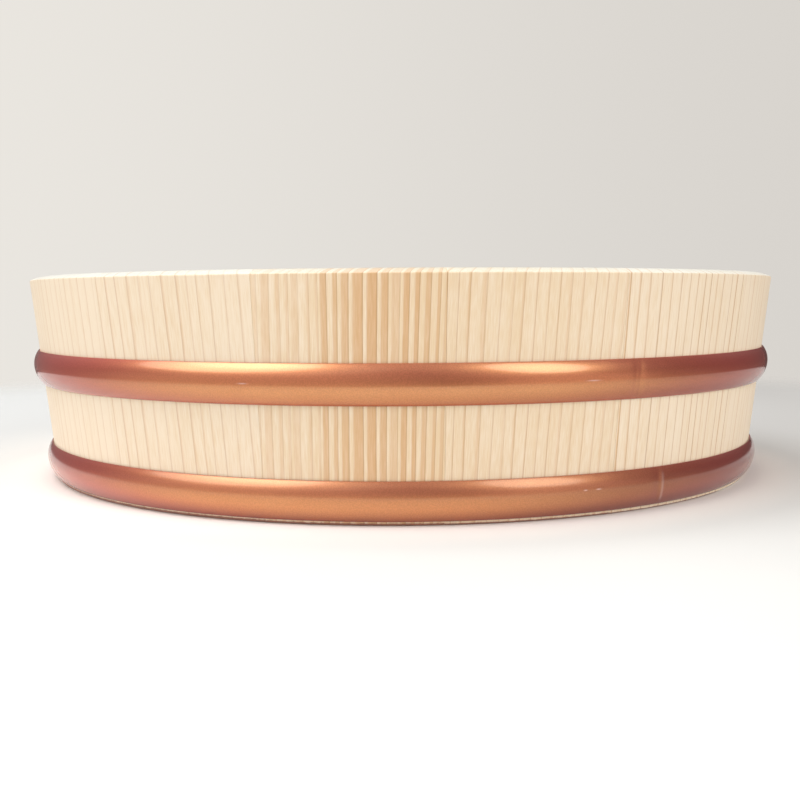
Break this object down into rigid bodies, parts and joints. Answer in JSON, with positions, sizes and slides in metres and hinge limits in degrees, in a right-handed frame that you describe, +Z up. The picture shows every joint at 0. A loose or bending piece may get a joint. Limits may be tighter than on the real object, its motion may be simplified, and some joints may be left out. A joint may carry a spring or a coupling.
{
  "type": "sushi rice tub",
  "caption": "Shallow round coopered rice tub of pale wooden staves held by round-faced copper-coloured hoops, with a raised plank bottom let into a groove in the staves.",
  "frame": {"origin": "middle of the foot, on the table", "axes": "+Z up along the tub's axis, -Y towards the front, +X to the right seen from the front"},
  "size_m": [0.27, 0.27, 0.07],
  "materials": {
    "wood": "planed bare softwood with fine straight grain",
    "bamboo": "split and shaved bamboo",
    "hoop": "copper-coloured with a metallic lustre, satin gloss"
  },
  "bodies": {
    "root": {"stave_01": "wood", "stave_02": "wood", "stave_03": "wood", "stave_04": "wood", "stave_05": "wood", "stave_06": "wood", "stave_07": "wood", "stave_08": "wood", "stave_09": "wood", "stave_10": "wood", "stave_11": "wood", "stave_12": "wood", "stave_13": "wood", "stave_14": "wood", "stave_15": "wood", "stave_16": "wood", "stave_dowel_01": "bamboo", "stave_dowel_02": "bamboo", "stave_dowel_03": "bamboo", "stave_dowel_04": "bamboo", "stave_dowel_05": "bamboo", "stave_dowel_06": "bamboo", "stave_dowel_07": "bamboo", "stave_dowel_08": "bamboo", "stave_dowel_09": "bamboo", "stave_dowel_10": "bamboo", "stave_dowel_11": "bamboo", "stave_dowel_12": "bamboo", "stave_dowel_13": "bamboo", "stave_dowel_14": "bamboo", "stave_dowel_15": "bamboo", "stave_dowel_16": "bamboo", "bottom_plank_1": "wood", "bottom_plank_2": "wood", "bottom_plank_3": "wood", "bottom_plank_4": "wood", "bottom_dowel_1": "bamboo", "bottom_dowel_2": "bamboo", "bottom_dowel_3": "bamboo", "bottom_dowel_4": "bamboo", "bottom_dowel_5": "bamboo", "bottom_dowel_6": "bamboo", "upper_hoop": "hoop", "lower_hoop": "hoop"}
  },
  "joints": []
}
